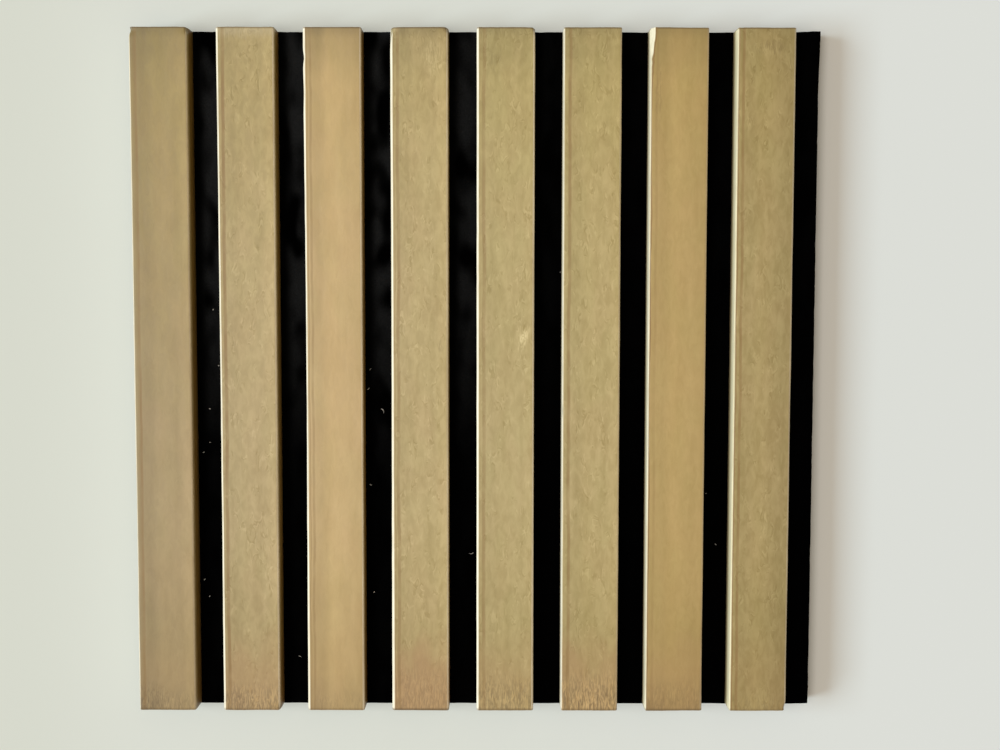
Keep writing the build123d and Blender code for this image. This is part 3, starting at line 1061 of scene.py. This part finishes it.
def felt_material(low, setting):
    """Matt black pressed felt: a tangle of short fibres, a blue-grey painted sheen on its front towards the
    upper left, kept off the strip beside each slat by painted shadow, and blue-grey nap on its back.
    """
    finish = setting.felt_finish
    felt = Finish(bpy.data.materials.new("pressed_felt"))
    place = felt.millimetres(low)
    across, depth, height = felt.parts(place)
    tangle = felt.noise(place, (0.5, 0.5, 0.5), 1.0, detail=4.0, roughness=0.7, distortion=1.5)
    patch = felt.noise(place, (11.0, 11.0, 20.0), 5.0, detail=1.0)
    # Painted light: the sheen is strongest in the upper left gaps and held back by painted shadow beside each
    # slat
    sheen_fade = felt.times(felt.slope(across, *SHEEN_ACROSS, 0.04, 1.0), felt.slope(height, *SHEEN_UP, 0.05, 1.0))
    slat_shadow = felt.slope(felt.maths("MODULO", across, slat_pitch()), *SLAT_SHADOW_SPAN, 0.15, 1.0)
    on_front = felt.times(felt.slope(patch, 0.30, 0.62), sheen_fade, slat_shadow)
    on_back = felt.times(felt.slope(depth, *NAP_SPAN), felt.slope(patch, 0.20, 0.75, 0.35, 0.8))
    nap_and_sheen = felt.maths("MAXIMUM", on_front, on_back)
    colour = felt.over(finish.colour, finish.nap_and_sheen_colour, nap_and_sheen, felt.slope(tangle, 0.2, 0.8, 0.6, 1.0))
    colour = felt.shade(colour, felt.slope(tangle, 0.2, 0.8, 0.6, 1.4))
    return felt.surface(Base_Color=colour, Roughness=0.95, Specular_IOR_Level=0.0,
                        Normal=felt.bump(tangle, 0.25))


def lint_material(setting):
    """Pale fibre, a little darker in places."""
    fibre = Finish(bpy.data.materials.new("lint_fibre"))
    grey = fibre.noise(fibre.millimetres(), (3.0, 3.0, 3.0), 2.0)
    colour = fibre.shade(setting.felt_finish.lint_colour, fibre.slope(grey, 0.3, 0.7, 0.35, 1.0))
    return fibre.surface(Base_Color=colour, Roughness=0.8, Specular_IOR_Level=0.2)


def staple_material(setting):
    """Galvanised wire with fine drawing lines and dull patches."""
    finish = setting.staple_finish
    wire = Finish(bpy.data.materials.new("galvanised_wire"))
    place = wire.millimetres()
    dull = wire.noise(place, (1.2, 1.2, 1.2), 3.0, detail=3.0)
    drawn = wire.noise(place, (3.0, 0.08, 0.08), 4.0)
    colour = wire.shade(finish.colour, wire.slope(dull, 0.3, 0.7, 0.75, 1.05))
    rough = wire.slope(dull, 0.3, 0.7, finish.roughness - 0.08, finish.roughness + 0.16)
    return wire.surface(Base_Color=colour, Metallic=1.0, Roughness=rough, Normal=wire.bump(drawn, 0.01))


def dress_staples(setting):
    """Give the frame's own staples their finish."""
    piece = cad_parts[STAPLES]
    piece.data.materials.clear()
    piece.data.materials.append(staple_material(setting))
    return piece


# Stage

def make_backdrop(stage):
    """A large flat sheet just behind the board, open where the board hides it, so that light gets behind.

    It shows from the front only, so the board's back can be seen.
    """
    low, high = box_mm(FELT)
    behind = high[1] + BACKDROP_GAP
    turn = np.array([(-1, -1), (1, -1), (1, 1), (-1, 1)])
    middle, half = (low + high) / 2, (high - low) / 2 - BACKDROP_LAP
    outer = [(BACKDROP_REACH * x, behind, BACKDROP_REACH * z) for x, z in turn]
    inner = [(middle[0] + half[0] * x, behind, middle[2] + half[2] * z) for x, z in turn]
    quads = [[k, (k + 1) % 4, (k + 1) % 4 + 4, k + 4] for k in range(4)]
    backdrop = new_mesh("backdrop", np.array(outer + inner), np.array(quads))
    paint = Finish(bpy.data.materials.new("backdrop_paint"))
    along = paint.parts(paint.millimetres())[0]
    # Painted light and shade: the backdrop is dimmer to the left and cooler to the right
    colour = paint.mix(paint.slope(along, *DIM_SPAN), stage.backdrop_colour, stage.dim_colour)
    colour = paint.mix(paint.slope(along, *COOL_SPAN), colour, stage.cool_colour)
    matt = paint.node("ShaderNodeBsdfDiffuse", {"Color": colour, "Roughness": 0.0})
    clear = paint.node("ShaderNodeBsdfTransparent")
    from_behind = paint.node("ShaderNodeNewGeometry").outputs["Backfacing"]
    backdrop.data.materials.append(paint.close(paint.node(
        "ShaderNodeMixShader", {0: from_behind, 1: matt.outputs[0], 2: clear.outputs[0]})))


def add_lamp(name, share, turn, drop, distance, width, height, colour):
    """A soft rectangular lamp that gives a face turned to the room a share of full light.

    At distance r a lamp of power P lights the board by about P / (pi * r * r) times the cosine at the board,
    and a matt face sends back that over pi, so P is the share times pi * pi * r * r over the cosine.
    """
    towards = Vector((-math.sin(turn) * math.cos(drop), -math.cos(turn) * math.cos(drop), -math.sin(drop)))
    light = bpy.data.lights.new(name, "AREA")
    light.shape = "RECTANGLE"
    light.size = width
    light.size_y = height
    light.color = colour
    light.energy = share * math.pi ** 2 * distance ** 2 / -towards.y
    lamp = bpy.data.objects.new(name, light)
    lamp.location = (frame_box[0] + frame_box[1]) / 2 + towards * distance
    lamp.rotation_euler = (-towards).to_track_quat("-Z", "Y").to_euler()
    lamp.visible_camera = False
    bpy.context.scene.collection.objects.link(lamp)


def make_lights(stage):
    """A tall window to the left, a broad weak lamp in front and an even warm room, together full light."""
    add_lamp("window", stage.window_strength, stage.window_angle, stage.window_drop, stage.lamp_distance,
             stage.window_width, stage.window_height, stage.window_colour)
    add_lamp("fill", stage.fill_strength, stage.fill_angle, 0.0, stage.lamp_distance,
             stage.fill_size, stage.fill_size, stage.fill_colour)
    room = Finish(bpy.data.worlds.new("room"), "ShaderNodeOutputWorld")
    rays = room.node("ShaderNodeLightPath").outputs
    mirrored = room.maths("MAXIMUM", rays["Is Glossy Ray"], rays["Is Transmission Ray"])
    seen_directly = room.maths("MAXIMUM", rays["Is Camera Ray"], mirrored)
    lit = room.node("ShaderNodeBackground", {
        "Color": (*stage.room_colour, 1.0), "Strength": stage.room_strength})
    seen = room.node("ShaderNodeBackground", {"Color": (*stage.backdrop_colour, 1.0)})
    bpy.context.scene.world = room.close(room.node(
        "ShaderNodeMixShader", {0: seen_directly, 1: lit.outputs[0], 2: seen.outputs[0]}))


def make_camera(view):
    """The camera at the photograph's angle."""
    lens = bpy.data.cameras.new("camera")
    lens.sensor_width = SENSOR_WIDTH
    lens.lens = view.focal_length
    lens.clip_start, lens.clip_end = CLIP_RANGE
    camera = bpy.data.objects.new("camera", lens)
    turn = Matrix.Rotation(math.pi / 2 - view.tilt, 4, "X") @ Matrix.Rotation(-view.roll, 4, "Z")
    camera.matrix_world = Matrix.Translation(view.place) @ turn
    bpy.context.scene.collection.objects.link(camera)
    bpy.context.scene.camera = camera


# Operators

class SLATPANEL_OT_slats(bpy.types.Operator):
    """Model and finish every slat"""
    bl_idname = "slatpanel.slats"
    bl_label = "Make the slats"

    def execute(self, context):
        for name in SLATS:
            make_slat(name, context.scene.slat_panel)
        return {"FINISHED"}


class SLATPANEL_OT_felt(bpy.types.Operator):
    """Model and finish the felt board"""
    bl_idname = "slatpanel.felt"
    bl_label = "Make the felt board"

    def execute(self, context):
        make_felt(context.scene.slat_panel)
        return {"FINISHED"}


class SLATPANEL_OT_lint(bpy.types.Operator):
    """Scatter the lint on the felt"""
    bl_idname = "slatpanel.lint"
    bl_label = "Add the lint"

    def execute(self, context):
        make_lint(context.scene.slat_panel)
        return {"FINISHED"}


class SLATPANEL_OT_staples(bpy.types.Operator):
    """Finish the staples"""
    bl_idname = "slatpanel.staples"
    bl_label = "Finish the staples"

    def execute(self, context):
        dress_staples(context.scene.slat_panel)
        return {"FINISHED"}


class SLATPANEL_OT_stage(bpy.types.Operator):
    """Set the backdrop, the lights and the camera"""
    bl_idname = "slatpanel.stage"
    bl_label = "Set the stage"

    def execute(self, context):
        setting = context.scene.slat_panel
        make_backdrop(setting.stage)
        make_lights(setting.stage)
        make_camera(setting.camera)
        context.scene.view_settings.view_transform = "Standard"
        return {"FINISHED"}


class SLATPANEL_PT_sidebar(bpy.types.Panel):
    """Steps and settings of the slat panel"""
    bl_label = "Slat Panel"
    bl_space_type = "VIEW_3D"
    bl_region_type = "UI"
    bl_category = "Slat Panel"

    def draw(self, context):
        setting = context.scene.slat_panel
        steps = (
            (SLATPANEL_OT_slats, (setting.slat_shape, setting.slat_finish)),
            (SLATPANEL_OT_felt, (setting.felt_shape, setting.felt_finish)),
            (SLATPANEL_OT_lint, ()),
            (SLATPANEL_OT_staples, (setting.staple_finish,)),
            (SLATPANEL_OT_stage, (setting.stage, setting.camera)),
        )
        self.layout.prop(setting, "seed")
        for step, groups in steps:
            box = self.layout.box()
            box.operator(step.bl_idname)
            for group in groups:
                for key in group.__annotations__:
                    box.prop(group, key)


CLASSES = (
    SlatShape, SlatFinish, FeltShape, FeltFinish, StapleFinish, StageSetting, CameraSetting, PanelSetting,
    SLATPANEL_OT_slats, SLATPANEL_OT_felt, SLATPANEL_OT_lint, SLATPANEL_OT_staples, SLATPANEL_OT_stage,
    SLATPANEL_PT_sidebar,
)


def register():
    for item in CLASSES:
        bpy.utils.register_class(item)
    bpy.types.Scene.slat_panel = PointerProperty(type=PanelSetting)


def unregister():
    del bpy.types.Scene.slat_panel
    for item in reversed(CLASSES):
        bpy.utils.unregister_class(item)


def main():
    register()
    bpy.ops.slatpanel.slats()
    bpy.ops.slatpanel.felt()
    bpy.ops.slatpanel.lint()
    bpy.ops.slatpanel.staples()
    bpy.ops.slatpanel.stage()


if __name__ == "__main__":
    main()
